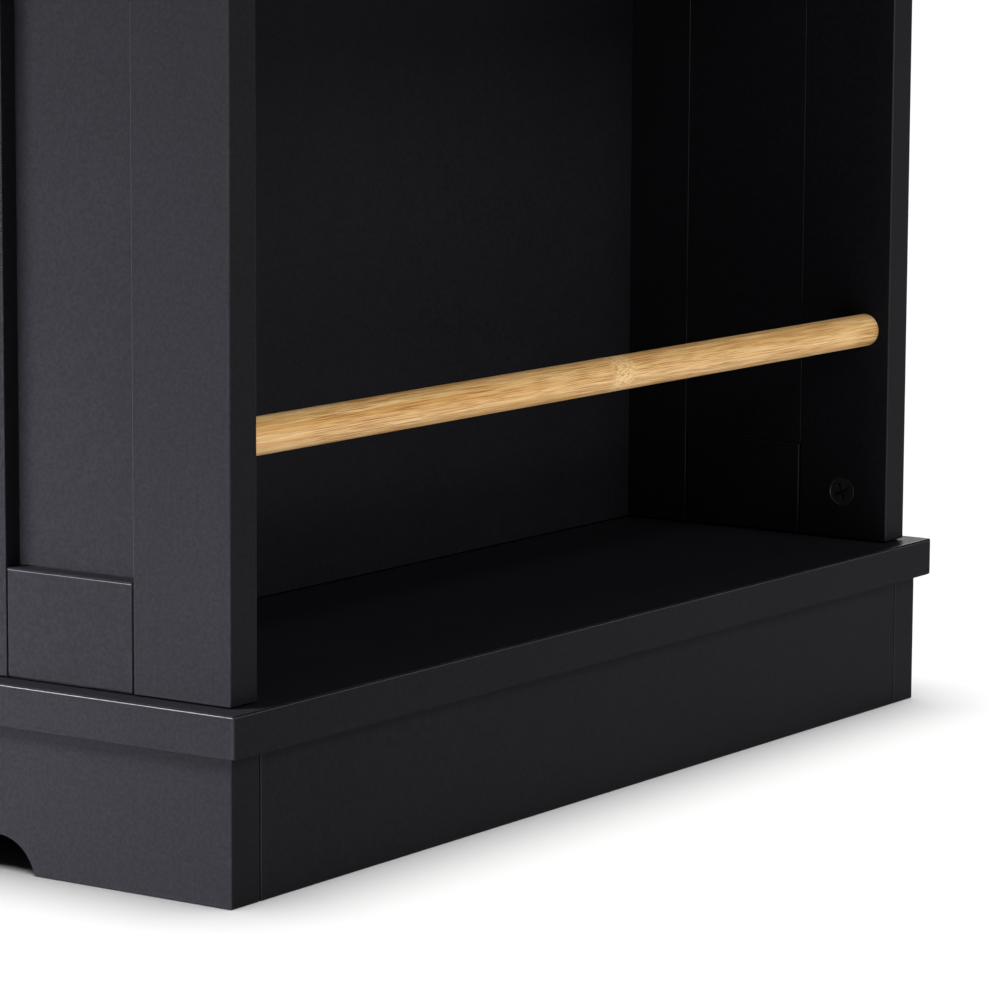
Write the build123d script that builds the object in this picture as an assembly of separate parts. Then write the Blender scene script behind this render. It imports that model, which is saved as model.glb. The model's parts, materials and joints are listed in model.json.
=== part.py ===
from build123d import *
import os

# Kitchen island with an open rack at one end, doors and drawers in front, and a plinth on the floor.
# Millimetres. +Z is up, the front faces -Y and the open rack end faces +X.
# The origin is on the floor, under the middle of the worktop.

# Driving dimensions
WORKTOP_LENGTH = 1200.0
WORKTOP_DEPTH = 600.0
WORKTOP_THICKNESS = 25.0
OVERALL_HEIGHT = 915.0
PLINTH_LENGTH = 1160.0
PLINTH_DEPTH = 562.0
PLINTH_HEIGHT = 63.5
PLINTH_BOARD = 19.0
TOE_GAP_HEIGHT = 15.5      # shallow cut-out along the foot of both long plinth boards
TOE_GAP_RADIUS = 20.0
FOOT_LENGTH = 104.0        # solid foot left at each end of the cut-out
BASE_THICKNESS = 18.0
BASE_OVERHANG = 6.0        # base board beyond the plinth, all round
BASE_TOP_ROUND = 2.5
SIDE_INSET = 5.0           # long side frames, in from the plinth face
END_INSET = 4.0            # rack cheek edges, in from the plinth face
FRAME_THICKNESS = 18.0
STILE_WIDTH = 50.0
CHEEK_PANEL_WIDTH = 68.0   # panel showing between the two stiles of a rack cheek
RAIL_WIDTH = 47.0
PANEL_THICKNESS = 9.0      # panels lie flush inside and recessed outside
CARCASS_BOARD = 16.0
PARTITION = 18.0

GUARD_RAIL_RADIUS = 8.0
GUARD_RAIL_INSET = 14.0    # rail axis behind the cheek edge
SOCKET_DEPTH = 8.5
SOCKET_CLEARANCE = 0.1
RAIL_HEIGHTS = {"lower": 106.5, "middle": 75.0, "upper": 75.0}   # rail axis above each bay floor
LOWER_BAY_HEIGHT = 310.0
MIDDLE_BAY_HEIGHT = 230.0
SHELF_SETBACK = 4.0

CAM_RADIUS = 7.5
CAM_DEPTH = 12.3
CAM_DISTANCE = 24.0        # cam centre from the edge that its bolt enters
CAM_INSET = 26.0           # cam centre behind the cheek edge
CAM_SLOT_WIDTH = 1.8
CAM_SLOT_LENGTH = 9.0
CAM_SLOT_DEPTH = 2.5
BOLT_RADIUS = 3.0
BOLT_HOLD = 11.0           # bolt length in the board it is screwed into
DRILL_CLEARANCE = 0.1

TOP_RAIL_HEIGHT = 30.0
DRAWER_OPENING = 150.0
MID_RAIL_HEIGHT = 18.0
MID_RAIL_DEPTH = 60.0
FRONT_GAP = 2.0
HINGE_GAP = 3.0
DOOR_FRAME_WIDTH = 55.0
DRAWER_FRAME_WIDTH = 35.0
DRAWER_RECESS = 6.0
DRAWER_DEPTH = 440.0
DRAWER_SIDE_HEIGHT = 100.0
DRAWER_BOARD = 12.0
DRAWER_BOTTOM = 6.0
RUNNER_SPACE = 12.5        # between a drawer side and the board beside it
RUNNER_HEIGHT = 45.0
RUNNER_METAL = 1.2
RUNNER_CLEARANCE = 2.4     # bar to channel
CLEAT_HEIGHT = 70.0

HINGE_HEIGHT = 50.0
HINGE_INSET = 100.0        # hinge middle from the top and bottom of the door
HINGE_LEAF = 1.2
HINGE_LEAF_DEPTH = 14.0
BARREL_RADIUS = 3.5
HINGE_PIN_RADIUS = 1.5
PIN_CLEARANCE = 0.05
BARREL_STANDOFF = 4.0      # hinge axis in front of the door face
LEAF_CLEARANCE = 0.3

KNOB_RADIUS = 15.0
KNOB_STEM_RADIUS = 7.0
KNOB_STEM_LENGTH = 9.0
KNOB_HEAD_LENGTH = 11.0
KNOB_ROUND = 4.0
DOOR_KNOB_DROP = 110.0     # door knob below the top of the door

PIN_RADIUS = 2.5
PIN_DEPTH = 8.0
PIN_INSET = 40.0
CABINET_SHELF_HEIGHT = 380.0
SHELF_SIDE_GAP = 1.0
SHELF_FRONT_GAP = 6.0      # between the doors and the front of a cabinet shelf
STRETCHER_WIDTH = 80.0
CATCH_SIZE = (40.0, 32.0, 12.0)

# Levels and faces worked out from them
z_base = PLINTH_HEIGHT
z_floor = z_base + BASE_THICKNESS
z_top = OVERALL_HEIGHT - WORKTOP_THICKNESS
y_plinth = PLINTH_DEPTH / 2
y_outer = y_plinth - SIDE_INSET
y_inner = y_outer - FRAME_THICKNESS
y_panel = y_inner + PANEL_THICKNESS
x_plinth = PLINTH_LENGTH / 2
x_edge = x_plinth - END_INSET                                   # front edge of the rack cheeks
x_cheek = x_edge - 2 * STILE_WIDTH - CHEEK_PANEL_WIDTH          # inner end of the rack cheeks
x_rack = x_cheek + CARCASS_BOARD                                # rack face of the divider
x_left = -(x_plinth - SIDE_INSET)                               # outer face of the closed end
x_left_inner = x_left + FRAME_THICKNESS
x_left_stile = x_left + STILE_WIDTH
x_middle = (x_left_stile + x_cheek) / 2
z_drawer_top = z_top - TOP_RAIL_HEIGHT
z_drawer_floor = z_drawer_top - DRAWER_OPENING
z_door_top = z_drawer_floor - MID_RAIL_HEIGHT
z_upper_rail = z_top - RAIL_WIDTH
z_lower_rail = z_floor + RAIL_WIDTH

full_depth = (-y_inner, y_inner)
full_height = (z_floor, z_top)
partition_x = (x_middle - PARTITION / 2, x_middle + PARTITION / 2)


def board(x, y, z):
    """A board lying between two planes on each axis."""
    size = (x[1] - x[0], y[1] - y[0], z[1] - z[0])
    return Pos(x[0], y[0], z[0]) * Box(*size, align=(Align.MIN, Align.MIN, Align.MIN))


def rod(start, end, radius):
    """A round rod between two points that differ on one axis only."""
    start = Vector(*start)
    run = Vector(*end) - start
    return extrude(Plane(start, z_dir=run) * Circle(radius), run.length)


def rear(shape):
    """The same piece on the other long side."""
    return mirror(shape, about=Plane.XZ)


def save(node, *solids):
    """Writes one named piece, or a group of like pieces, in its place."""
    shape = solids[0] if len(solids) == 1 else Compound(children=list(solids))
    export_step(shape, f"parts/{node}.step")


os.makedirs("parts", exist_ok=True)

# ---- plinth ----
foot_x = x_plinth - FOOT_LENGTH
arc_drop = TOE_GAP_RADIUS - TOE_GAP_HEIGHT
arc_x = foot_x - (TOE_GAP_RADIUS**2 - arc_drop**2) ** 0.5
long_plinth = board((-x_plinth, x_plinth), (-y_plinth, PLINTH_BOARD - y_plinth), (0, z_base))
long_plinth -= board((-arc_x, arc_x), (-y_plinth, PLINTH_BOARD - y_plinth), (-1, TOE_GAP_HEIGHT))
for side in (-1, 1):
    long_plinth -= rod(
        (side * arc_x, -y_plinth, -arc_drop),
        (side * arc_x, PLINTH_BOARD - y_plinth, -arc_drop),
        TOE_GAP_RADIUS,
    )
save("front_plinth", long_plinth)
save("rear_plinth", rear(long_plinth))

end_y = (PLINTH_BOARD - y_plinth, y_plinth - PLINTH_BOARD)
save("rack_end_plinth", board((x_plinth - PLINTH_BOARD, x_plinth), end_y, (0, z_base)))
save("closed_end_plinth", board((-x_plinth, PLINTH_BOARD - x_plinth), end_y, (0, z_base)))
cross_board_z = (TOE_GAP_HEIGHT, z_base)
save(
    "plinth_cross_boards",
    board((x_cheek, x_cheek + PARTITION), end_y, cross_board_z),
    board(partition_x, end_y, cross_board_z),
)

# ---- cam locks that hold the rack together: place of each disc and the way its bolt runs ----
cam_x = x_edge - CAM_INSET
shelf_levels = {
    "lower": z_floor + LOWER_BAY_HEIGHT,
    "upper": z_floor + LOWER_BAY_HEIGHT + CARCASS_BOARD + MIDDLE_BAY_HEIGHT,
}
shelf_cam_rows = (x_rack + CAM_DISTANCE, cam_x)
stile_middle = y_inner + FRAME_THICKNESS / 2


def cam(centre, inward):
    """A cam disc sunk along inward from the surface, with a cross slot in its face."""
    face = Vector(*centre)
    way = Vector(*inward)
    disc = rod(centre, tuple(face + way * CAM_DEPTH), CAM_RADIUS)
    plane = Plane(face, z_dir=way)
    for width, height in ((CAM_SLOT_WIDTH, CAM_SLOT_LENGTH), (CAM_SLOT_LENGTH, CAM_SLOT_WIDTH)):
        disc -= extrude(plane * Rectangle(width, height), CAM_SLOT_DEPTH)
    return disc


def cam_bore(centre, inward):
    """The round pocket that a cam disc sits in."""
    end = Vector(*centre) + Vector(*inward) * (CAM_DEPTH + DRILL_CLEARANCE)
    return rod(centre, tuple(end), CAM_RADIUS + DRILL_CLEARANCE)


cams = []
bolts = []
cheek_cuts = []
base_cuts = []
top_cuts = []
bolt_reach = CAM_DISTANCE - CAM_RADIUS - 2 * DRILL_CLEARANCE
for level, way, cuts in ((z_floor, 1, base_cuts), (z_top - PARTITION, -1, top_cuts)):
    centre = (cam_x, -y_inner, level + way * CAM_DISTANCE)
    cams.append(cam(centre, (0, -1, 0)))
    cheek_cuts.append(cam_bore(centre, (0, -1, 0)))
    low = (cam_x, -stile_middle, level - way * BOLT_HOLD)
    high = (cam_x, -stile_middle, level + way * bolt_reach)
    bolts.append(rod(low, high, BOLT_RADIUS))
    cheek_cuts.append(rod(low, high, BOLT_RADIUS + DRILL_CLEARANCE))
    cuts.append(rod(low, high, BOLT_RADIUS + DRILL_CLEARANCE))

shelf_cuts = {"lower": [], "upper": []}
for name, level in shelf_levels.items():
    for x in shelf_cam_rows:
        centre = (x, CAM_DISTANCE - y_inner, level)
        cams.append(cam(centre, (0, 0, 1)))
        shelf_cuts[name].append(cam_bore(centre, (0, 0, 1)))
        outer = (x, -y_inner - BOLT_HOLD, level + CARCASS_BOARD / 2)
        inner = (x, bolt_reach - y_inner, level + CARCASS_BOARD / 2)
        bolts.append(rod(outer, inner, BOLT_RADIUS))
        bolt_hole = rod(outer, inner, BOLT_RADIUS + DRILL_CLEARANCE)
        shelf_cuts[name].append(bolt_hole)
        cheek_cuts.append(bolt_hole)

save("rack_cam_locks", *cams, *[rear(piece) for piece in cams])
save("rack_cam_bolts", *bolts, *[rear(piece) for piece in bolts])

# ---- base board ----
base = board(
    (-x_plinth - BASE_OVERHANG, x_plinth + BASE_OVERHANG),
    (-y_plinth - BASE_OVERHANG, y_plinth + BASE_OVERHANG),
    (z_base, z_floor),
)
base = fillet(base.faces().sort_by(Axis.Z)[-1].edges(), BASE_TOP_ROUND)
for hole in base_cuts:
    base -= hole
    base -= rear(hole)
save("base_board", base)

# ---- guard rails and their sockets ----
rail_x = x_edge - GUARD_RAIL_INSET
bay_floors = {
    "lower": z_floor,
    "middle": shelf_levels["lower"] + CARCASS_BOARD,
    "upper": shelf_levels["upper"] + CARCASS_BOARD,
}
for name, height in RAIL_HEIGHTS.items():
    z = bay_floors[name] + height
    end = y_inner + SOCKET_DEPTH - 2 * SOCKET_CLEARANCE
    save(f"{name}_guard_rail", rod((rail_x, -end, z), (rail_x, end, z), GUARD_RAIL_RADIUS))
    cheek_cuts.append(
        rod(
            (rail_x, -y_inner - SOCKET_DEPTH, z),
            (rail_x, -y_inner, z),
            GUARD_RAIL_RADIUS + SOCKET_CLEARANCE,
        )
    )

# ---- rack cheeks: two stiles, two rails and a panel on each long side ----
frame_y = (-y_outer, -y_inner)
panel_y = (-y_panel, -y_inner)
cheek_panel_x = (x_cheek + STILE_WIDTH, x_edge - STILE_WIDTH)
stiles = [
    board((x_edge - STILE_WIDTH, x_edge), frame_y, full_height),
    board((x_cheek, x_cheek + STILE_WIDTH), frame_y, full_height),
]
for hole in cheek_cuts:
    for index, stile in enumerate(stiles):
        if (stile & hole) is not None:
            stiles[index] = stile - hole
cheek_rails = [
    board(cheek_panel_x, frame_y, (z_floor, z_lower_rail)),
    board(cheek_panel_x, frame_y, (z_upper_rail, z_top)),
]
cheek_panel = board(cheek_panel_x, panel_y, (z_lower_rail, z_upper_rail))
save("front_cheek_stiles", *stiles)
save("front_cheek_rails", *cheek_rails)
save("front_cheek_panel", cheek_panel)
save("rear_cheek_stiles", *[rear(piece) for piece in stiles])
save("rear_cheek_rails", *[rear(piece) for piece in cheek_rails])
save("rear_cheek_panel", rear(cheek_panel))

# ---- rack: divider, shelves and top board ----
divider_x = (x_cheek, x_rack)
shelf_x = (x_rack, x_edge - SHELF_SETBACK)
pin_rows = (PIN_INSET - y_inner, y_inner - PIN_INSET)
pin_z = CABINET_SHELF_HEIGHT - PIN_RADIUS


def shelf_pin(wall_x, way, y):
    """A round pin in a wall, half of it standing out under the shelf."""
    return rod(
        (wall_x - way * PIN_DEPTH, y, pin_z),
        (wall_x + way * PIN_DEPTH, y, pin_z),
        PIN_RADIUS,
    )


def pin_hole(wall_x, way, y):
    """The hole that a shelf pin is pushed into."""
    return rod(
        (wall_x - way * (PIN_DEPTH + DRILL_CLEARANCE), y, pin_z),
        (wall_x, y, pin_z),
        PIN_RADIUS + DRILL_CLEARANCE / 2,
    )


divider = board(divider_x, full_depth, full_height)
for y in pin_rows:
    divider -= pin_hole(x_cheek, -1, y)
save("rack_divider", divider)

for name, level in shelf_levels.items():
    shelf = board(shelf_x, full_depth, (level, level + CARCASS_BOARD))
    for cut in shelf_cuts[name]:
        shelf -= cut
        shelf -= rear(cut)
    save(f"{name}_rack_shelf", shelf)

top_board_z = (z_top - PARTITION, z_top)
rack_top = board(shelf_x, full_depth, top_board_z)
for hole in top_cuts:
    rack_top -= hole
    rack_top -= rear(hole)
stretcher_rows = (x_left_inner + STRETCHER_WIDTH / 2, x_middle)
save(
    "top_boards",
    rack_top,
    *[
        board((x - STRETCHER_WIDTH / 2, x + STRETCHER_WIDTH / 2), full_depth, top_board_z)
        for x in stretcher_rows
    ],
)

# ---- closed end: corner stiles, frame and panel ----
corner_stile = board((x_left, x_left_stile), frame_y, full_height)
save("corner_stiles", corner_stile, rear(corner_stile))

end_frame_x = (x_left, x_left_inner)
end_stile = board(end_frame_x, (-y_inner, STILE_WIDTH - y_inner), full_height)
drilled_stile = end_stile - pin_hole(x_left_inner, 1, pin_rows[0])
end_panel_y = (STILE_WIDTH - y_inner, y_inner - STILE_WIDTH)
save("closed_end_stiles", drilled_stile, rear(drilled_stile))
save(
    "closed_end_rails",
    board(end_frame_x, end_panel_y, (z_floor, z_lower_rail)),
    board(end_frame_x, end_panel_y, (z_upper_rail, z_top)),
)
save(
    "closed_end_panel",
    board((x_left_inner - PANEL_THICKNESS, x_left_inner), end_panel_y, (z_lower_rail, z_upper_rail)),
)

# ---- back of the cabinet: rails, centre stile and two panels ----
back_y = (y_inner, y_outer)
back_panel_y = (y_inner, y_panel)
back_left = (x_left_stile, x_middle - STILE_WIDTH / 2)
back_right = (x_middle + STILE_WIDTH / 2, x_cheek)
save(
    "back_rails",
    board((x_left_stile, x_cheek), back_y, (z_floor, z_lower_rail)),
    board((x_left_stile, x_cheek), back_y, (z_upper_rail, z_top)),
)
save("back_centre_stile", board((back_left[1], back_right[0]), back_y, (z_lower_rail, z_upper_rail)))
save("back_panels", *[board(x, back_panel_y, (z_lower_rail, z_upper_rail)) for x in (back_left, back_right)])

# ---- inside the cabinet: partition, shelves, pins and front rails ----
partition = board(partition_x, (-y_outer, y_inner), (z_floor, z_drawer_top))
partition += board(partition_x, full_depth, (z_drawer_top, z_top - PARTITION))
for y in pin_rows:
    partition -= pin_hole(partition_x[0], -1, y)
    partition -= pin_hole(partition_x[1], 1, y)
save("centre_partition", partition)

save("front_top_rail", board((x_left_stile, x_cheek), frame_y, (z_drawer_top, z_top)))
mid_rail_y = (-y_outer, MID_RAIL_DEPTH - y_outer)
mid_rail_z = (z_door_top, z_drawer_floor)
save(
    "front_mid_rails",
    board((x_left_stile, partition_x[0]), mid_rail_y, mid_rail_z),
    board((partition_x[1], x_cheek), mid_rail_y, mid_rail_z),
)

shelf_y = (SHELF_FRONT_GAP - y_inner, y_inner - SHELF_SIDE_GAP)
shelf_z = (CABINET_SHELF_HEIGHT, CABINET_SHELF_HEIGHT + CARCASS_BOARD)
save(
    "cabinet_shelves",
    board((x_left_inner + SHELF_SIDE_GAP, partition_x[0] - SHELF_SIDE_GAP), shelf_y, shelf_z),
    board((partition_x[1] + SHELF_SIDE_GAP, x_cheek - SHELF_SIDE_GAP), shelf_y, shelf_z),
)
pin_walls = ((x_left_inner, 1), (partition_x[0], -1), (partition_x[1], 1), (x_cheek, -1))
save("shelf_pins", *[shelf_pin(wall, way, y) for wall, way in pin_walls for y in pin_rows])

catch_y = (-y_inner + LEAF_CLEARANCE, -y_inner + LEAF_CLEARANCE + CATCH_SIZE[1])
catch_z = (z_door_top - CATCH_SIZE[2], z_door_top)
save(
    "door_catches",
    board((partition_x[0] - CATCH_SIZE[0], partition_x[0]), catch_y, catch_z),
    board((partition_x[1], partition_x[1] + CATCH_SIZE[0]), catch_y, catch_z),
)

# ---- worktop ----
worktop = board(
    (-WORKTOP_LENGTH / 2, WORKTOP_LENGTH / 2),
    (-WORKTOP_DEPTH / 2, WORKTOP_DEPTH / 2),
    (z_top, OVERALL_HEIGHT),
)
save("worktop", worktop)


def knob(x, y, z):
    """A turned knob standing out of a front face at y."""
    stem = rod((x, y, z), (x, y - KNOB_STEM_LENGTH, z), KNOB_STEM_RADIUS)
    head = rod(
        (x, y - KNOB_STEM_LENGTH, z),
        (x, y - KNOB_STEM_LENGTH - KNOB_HEAD_LENGTH, z),
        KNOB_RADIUS,
    )
    return stem + fillet(head.edges().filter_by(GeomType.CIRCLE), KNOB_ROUND)


# ---- doors, hung on butt hinges at the outer ends of the cabinet ----
door_z = (z_floor + FRONT_GAP, z_door_top - FRONT_GAP)
hinge_levels = (door_z[0] + HINGE_INSET, door_z[1] - HINGE_INSET)
axis_y = -y_outer - BARREL_STANDOFF
knob_z = door_z[1] - DOOR_KNOB_DROP


def span(start, way, near, far):
    """Two x planes at near and far from start along way, in rising order."""
    return tuple(sorted((start + way * near, start + way * far)))


def hinge_pair(edge, way, middle):
    """One butt hinge: the frame's leaf, knuckles and pin, and the door's leaf and knuckle."""
    axis_x = edge + way * HINGE_GAP / 2
    low, high = middle - HINGE_HEIGHT / 2, middle + HINGE_HEIGHT / 2
    third = HINGE_HEIGHT / 3
    leaf_y = (axis_y + BARREL_RADIUS + LEAF_CLEARANCE, axis_y + BARREL_STANDOFF + HINGE_LEAF_DEPTH)
    neck_y = (axis_y, leaf_y[0])
    frame_x = span(edge, way, 0, HINGE_LEAF)
    door_x = span(edge, way, HINGE_GAP - HINGE_LEAF, HINGE_GAP)
    frame_knuckles = ((low, low + third - LEAF_CLEARANCE), (high - third + LEAF_CLEARANCE, high))
    door_knuckle = (low + third, high - third)

    fixed = board(frame_x, leaf_y, (low, high))
    for z in frame_knuckles:
        fixed += board(frame_x, neck_y, z)
        fixed += rod((axis_x, axis_y, z[0]), (axis_x, axis_y, z[1]), BARREL_RADIUS)
    fixed += rod((axis_x, axis_y, low), (axis_x, axis_y, high), HINGE_PIN_RADIUS)

    moving = board(door_x, leaf_y, (low, high))
    moving += board(door_x, neck_y, door_knuckle)
    ends = [(axis_x, axis_y, z) for z in door_knuckle]
    moving += rod(*ends, BARREL_RADIUS)
    moving -= rod(*ends, HINGE_PIN_RADIUS + PIN_CLEARANCE)
    return fixed, moving


def door(name, edge, way, far):
    """One framed door with its knob and hinge leaves; gives back the frame's hinge leaves."""
    near_x = edge + way * HINGE_GAP
    far_x = far - way * FRONT_GAP
    hinge_stile = span(near_x, way, 0, DOOR_FRAME_WIDTH)
    lock_stile = span(far_x, -way, 0, DOOR_FRAME_WIDTH)
    inner_x = tuple(sorted((near_x + way * DOOR_FRAME_WIDTH, far_x - way * DOOR_FRAME_WIDTH)))
    inner_z = (door_z[0] + DOOR_FRAME_WIDTH, door_z[1] - DOOR_FRAME_WIDTH)
    save(f"{name}_door_stiles", board(hinge_stile, frame_y, door_z), board(lock_stile, frame_y, door_z))
    save(
        f"{name}_door_rails",
        board(inner_x, frame_y, (door_z[0], inner_z[0])),
        board(inner_x, frame_y, (inner_z[1], door_z[1])),
    )
    save(f"{name}_door_panel", board(inner_x, panel_y, inner_z))
    save(f"{name}_door_knob", knob(sum(lock_stile) / 2, -y_outer, knob_z))
    pairs = [hinge_pair(edge, way, z) for z in hinge_levels]
    save(f"{name}_door_hinges", *[moving for fixed, moving in pairs])
    return [fixed for fixed, moving in pairs]


left_fixed = door("left", x_left_stile, 1, partition_x[0])
right_fixed = door("right", x_cheek, -1, partition_x[1])
save("frame_hinges", *left_fixed, *right_fixed)

# ---- drawers on side runners ----
front_z = (z_drawer_floor + FRONT_GAP, z_drawer_top - FRONT_GAP)
side_z = (z_drawer_floor + DRAWER_BOARD, z_drawer_floor + DRAWER_BOARD + DRAWER_SIDE_HEIGHT)
runner_z = sum(side_z) / 2
box_y = (-y_inner, DRAWER_DEPTH - y_inner)
cleat_z = (runner_z - CLEAT_HEIGHT / 2, runner_z + CLEAT_HEIGHT / 2)
save(
    "runner_cleat",
    board((x_left_stile - PARTITION, x_left_stile), (-y_inner, y_inner), cleat_z),
)


def runner(wall, way):
    """One side runner: the channel on the wall and the bar on the drawer that slides in it."""
    run_y = (box_y[0] + FRONT_GAP, box_y[1] - FRONT_GAP)
    low, high = runner_z - RUNNER_HEIGHT / 2, runner_z + RUNNER_HEIGHT / 2
    channel = board(span(wall, way, 0, RUNNER_METAL), run_y, (low, high))
    lip_x = span(wall, way, 0, RUNNER_SPACE - RUNNER_CLEARANCE)
    channel += board(lip_x, run_y, (low, low + RUNNER_METAL))
    channel += board(lip_x, run_y, (high - RUNNER_METAL, high))
    bar_x = span(wall, way, RUNNER_CLEARANCE, RUNNER_SPACE)
    bar_edge = RUNNER_METAL + RUNNER_CLEARANCE
    bar = board(bar_x, run_y, (low + bar_edge, high - bar_edge))
    return channel, bar


def drawer(name, low_x, high_x):
    """One drawer between two walls, with its knob and bars; gives back the channels on the walls."""
    front_x = (low_x + FRONT_GAP, high_x - FRONT_GAP)
    box_x = (low_x + RUNNER_SPACE, high_x - RUNNER_SPACE)
    inner_x = (box_x[0] + DRAWER_BOARD, box_x[1] - DRAWER_BOARD)
    front = board(front_x, frame_y, front_z)
    front -= board(
        (front_x[0] + DRAWER_FRAME_WIDTH, front_x[1] - DRAWER_FRAME_WIDTH),
        (-y_outer, DRAWER_RECESS - y_outer),
        (front_z[0] + DRAWER_FRAME_WIDTH, front_z[1] - DRAWER_FRAME_WIDTH),
    )
    save(f"{name}_drawer_front", front)
    save(
        f"{name}_drawer_sides",
        board((box_x[0], inner_x[0]), box_y, side_z),
        board((inner_x[1], box_x[1]), box_y, side_z),
    )
    save(f"{name}_drawer_back", board(inner_x, (box_y[1] - DRAWER_BOARD, box_y[1]), side_z))
    bottom_z = (side_z[0] + DRAWER_BOTTOM, side_z[0] + 2 * DRAWER_BOTTOM)
    save(f"{name}_drawer_bottom", board(inner_x, (box_y[0], box_y[1] - DRAWER_BOARD), bottom_z))
    save(f"{name}_drawer_knob", knob(sum(front_x) / 2, DRAWER_RECESS - y_outer, sum(front_z) / 2))
    channels, bars = zip(runner(low_x, 1), runner(high_x, -1))
    save(f"{name}_runner_bars", *bars)
    return channels


left_channels = drawer("left", x_left_stile, partition_x[0])
right_channels = drawer("right", partition_x[1], x_cheek)
save("runner_channels", *left_channels, *right_channels)
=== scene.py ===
import json
import math

import bmesh
import bpy
from bpy.props import FloatProperty, FloatVectorProperty, PointerProperty
from mathutils import Matrix, Vector


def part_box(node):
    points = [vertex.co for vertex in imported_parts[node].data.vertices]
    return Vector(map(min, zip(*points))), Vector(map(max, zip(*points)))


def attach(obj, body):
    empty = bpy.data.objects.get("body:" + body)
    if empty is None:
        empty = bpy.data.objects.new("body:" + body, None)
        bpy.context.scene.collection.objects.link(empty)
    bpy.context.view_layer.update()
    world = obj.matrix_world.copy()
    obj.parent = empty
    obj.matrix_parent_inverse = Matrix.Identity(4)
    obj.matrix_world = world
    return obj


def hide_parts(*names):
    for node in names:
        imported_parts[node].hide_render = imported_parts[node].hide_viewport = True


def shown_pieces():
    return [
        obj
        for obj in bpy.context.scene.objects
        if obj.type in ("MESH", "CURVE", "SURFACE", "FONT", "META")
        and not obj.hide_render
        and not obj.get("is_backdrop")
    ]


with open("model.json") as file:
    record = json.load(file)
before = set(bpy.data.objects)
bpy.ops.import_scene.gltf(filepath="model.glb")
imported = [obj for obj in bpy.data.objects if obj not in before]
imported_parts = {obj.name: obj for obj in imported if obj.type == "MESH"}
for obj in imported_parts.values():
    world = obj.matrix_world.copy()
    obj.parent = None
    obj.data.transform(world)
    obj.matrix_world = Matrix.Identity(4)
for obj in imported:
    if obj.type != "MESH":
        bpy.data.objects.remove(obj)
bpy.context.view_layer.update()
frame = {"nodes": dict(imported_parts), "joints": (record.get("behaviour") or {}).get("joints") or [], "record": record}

# Kitchen island with an open end rack, dressed board by board around its frame.
# Metres. +Z is up, the doors and drawers face -Y and the open rack end faces +X.

bl_info = {
    "name": "Kitchen island",
    "version": (1, 0, 0),
    "blender": (4, 5, 0),
    "location": "View3D > Sidebar > Kitchen island",
    "description": "Builds a painted kitchen island with an open end rack around its frame",
    "category": "Object",
}

MM = 0.001
WELD = 0.01 * MM             # vertices nearer than this are one
TOUCH = 0.05 * MM            # a vertex this near a board's outer plane lies on it
SHARP = math.radians(40)     # faces that meet more sharply than this are not shaded as one
SQUARE = math.radians(60)    # edges squarer than this get an arris
EDGE_SHEEN = "arris"              # face mark: eased edges, which get a clear coat as a painted sheen for highlight lines
GRAIN = "grain"              # wood coordinates: across, through and along the grain
CAM_TURN = 20                # degrees that the cams are turned in their bores
LONG_EDGE = 20 * MM          # edges of the runners shorter than this stay square

# How much painted sheen eased edges get, as a share of those that face up
SHEEN_RISE = 1.6               # how fast the share grows as an edge turns upwards
LEAST_SHEEN = 0.1              # edges that face sideways or down
CORNER_SHEEN = 0.2             # the base board's upright corners
END_SHEEN = 0.4                # times this where the base board's edges face its ends

# The faces of each painted board that meet a neighbour, by axis; a capital letter stands for
# the outermost faces of the whole node only
FRAME_BOARDS = {
    "front_cheek_stiles": "z",
    "front_cheek_rails": "xZ",
    "rear_cheek_stiles": "z",
    "rear_cheek_rails": "xZ",
    "corner_stiles": "z",
    "closed_end_stiles": "z",
    "closed_end_rails": "yZ",
    "back_rails": "xZ",
    "back_centre_stile": "z",
    "front_top_rail": "x",
    "front_mid_rails": "x",
}
PANELS = ("front_cheek_panel", "rear_cheek_panel", "closed_end_panel", "back_panels")
CARCASS_BOARDS = {
    "rack_divider": "yz",
    "lower_rack_shelf": "xy",
    "upper_rack_shelf": "xy",
    "top_boards": "y",
    "centre_partition": "z",
    "cabinet_shelves": "",
    "runner_cleat": "xy",
}
SIDES = ("left", "right")

# Pitted finishes: name, colour setting, metallic, roughness, pits in a metre, their depth
PITTED = {
    "dark_zinc": ("Blackened cast zinc", "cast", 0.0, 0.42, 1800.0, 0.02 * MM),
    "zinc_steel": ("Zinc plated steel", "zinc", 1.0, 0.32, 900.0, 0.008 * MM),
    "black_metal": ("Black powder coat", "powder", 0.0, 0.45, 2600.0, 0.02 * MM),
    "catch_plastic": ("Moulded plastic", "plastic", 0.0, 0.5, 3200.0, 0.015 * MM),
}

# The camera's place, and how far it is turned from +Y, tilted and rolled, in degrees
CAMERA_PLACE = (1.67726, -1.69758, 0.43292)
CAMERA_HEADING = 34.31
CAMERA_TILT = -8.405
CAMERA_ROLL = 0.30
SENSOR_WIDTH = 36.0          # millimetres

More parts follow.
